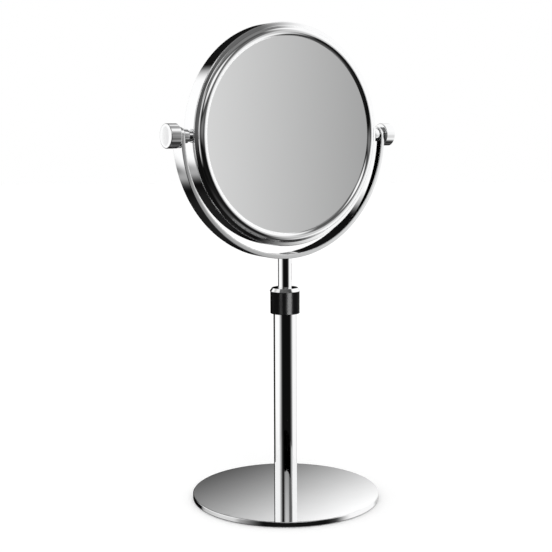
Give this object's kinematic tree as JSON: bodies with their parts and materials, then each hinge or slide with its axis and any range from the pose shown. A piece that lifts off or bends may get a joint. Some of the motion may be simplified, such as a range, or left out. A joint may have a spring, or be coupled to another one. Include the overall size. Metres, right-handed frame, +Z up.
{
  "type": "extendable shaving mirror",
  "caption": "Free-standing shaving mirror: a two-sided round head tilts in a half-ring yoke on a rod that slides and swivels in a column on a round base.",
  "frame": {"origin": "centre of the round base's underside, on the surface that it stands on", "axes": "+Z up along the column; the front of the base towards -Y, with the column at the back of the base; +X to the right as seen from the front"},
  "size_m": [0.2124, 0.2299, 0.414],
  "materials": {
    "chrome_plate": "mirror-polished chrome plate on steel",
    "chrome_tube": "mirror-polished chrome plate on drawn tube",
    "chrome_yoke": "mirror-polished chrome plate on bent flat strip",
    "chrome_head": "mirror-polished chrome plate on spun rings",
    "chrome_small": "mirror-polished chrome plate on turned parts",
    "dark_collar": "smooth dark gloss",
    "bright_cap": "mirror-polished chrome plate",
    "mirror_glass": "back-silvered glass",
    "rubber_pad": "matt anti-slip rubber",
    "friction_washer": "matt, slightly waxy",
    "steel_screw": "zinc-plated, bright",
    "turned_brass": "turned, unpolished",
    "nylon": "satin natural nylon",
    "core_moulding": "plain moulded",
    "foam": "closed-cell foam"
  },
  "bodies": {
    "base": {"base_plate": "chrome_plate", "base_pad": "rubber_pad", "base_screw": "steel_screw", "tube_plug": "turned_brass", "column_tube": "chrome_tube", "collet_seat": "turned_brass", "guide_bush": "nylon", "clamp_collet": "nylon"},
    "collar": {"collar_sleeve": "dark_collar", "collar_cap": "bright_cap"},
    "glide": {"glide_ring": "nylon"},
    "mast": {"sliding_rod": "chrome_tube", "rod_foot": "turned_brass", "rod_insert": "turned_brass", "yoke": "chrome_yoke", "yoke_screw": "steel_screw"},
    "head": {"drum_ring": "chrome_head", "core_frame": "core_moulding", "front_foam": "foam", "rear_foam": "foam", "front_glass": "mirror_glass", "rear_glass": "mirror_glass", "front_bezel": "chrome_head", "rear_bezel": "chrome_head", "left_boss": "chrome_small", "right_boss": "chrome_small", "left_pivot_bush": "chrome_small", "right_pivot_bush": "chrome_small", "left_washer": "friction_washer", "right_washer": "friction_washer"},
    "left_thumbscrew": {"left_knob": "chrome_small", "left_stud": "steel_screw"},
    "right_thumbscrew": {"right_knob": "chrome_small", "right_stud": "steel_screw"}
  },
  "joints": [
    {"name": "collar_turn", "type": "hinge", "parent": "base", "child": "collar", "pos_m": [0, 0.07, 0.1614], "axis": [0, 0, 1], "range_deg": [0, 180]},
    {"name": "mast_height", "type": "slide", "parent": "base", "child": "glide", "axis": [0, 0, 1], "range_m": [-0.024, 0.092]},
    {"name": "mast_swivel", "type": "hinge", "parent": "glide", "child": "mast", "pos_m": [0, 0.07, 0.188], "axis": [0, 0, 1], "continuous": true},
    {"name": "head_tilt", "type": "hinge", "parent": "mast", "child": "head", "pos_m": [0, 0.07, 0.314], "axis": [0.8192, 0.5736, 0], "continuous": true},
    {"name": "left_knob_turn", "type": "hinge", "parent": "head", "child": "left_thumbscrew", "pos_m": [-0.09584, 0.00289, 0.314], "axis": [-0.8192, -0.5736, 0], "range_deg": [0, 270]},
    {"name": "right_knob_turn", "type": "hinge", "parent": "head", "child": "right_thumbscrew", "pos_m": [0.09584, 0.13711, 0.314], "axis": [0.8192, 0.5736, 0], "range_deg": [0, 270]}
  ]
}
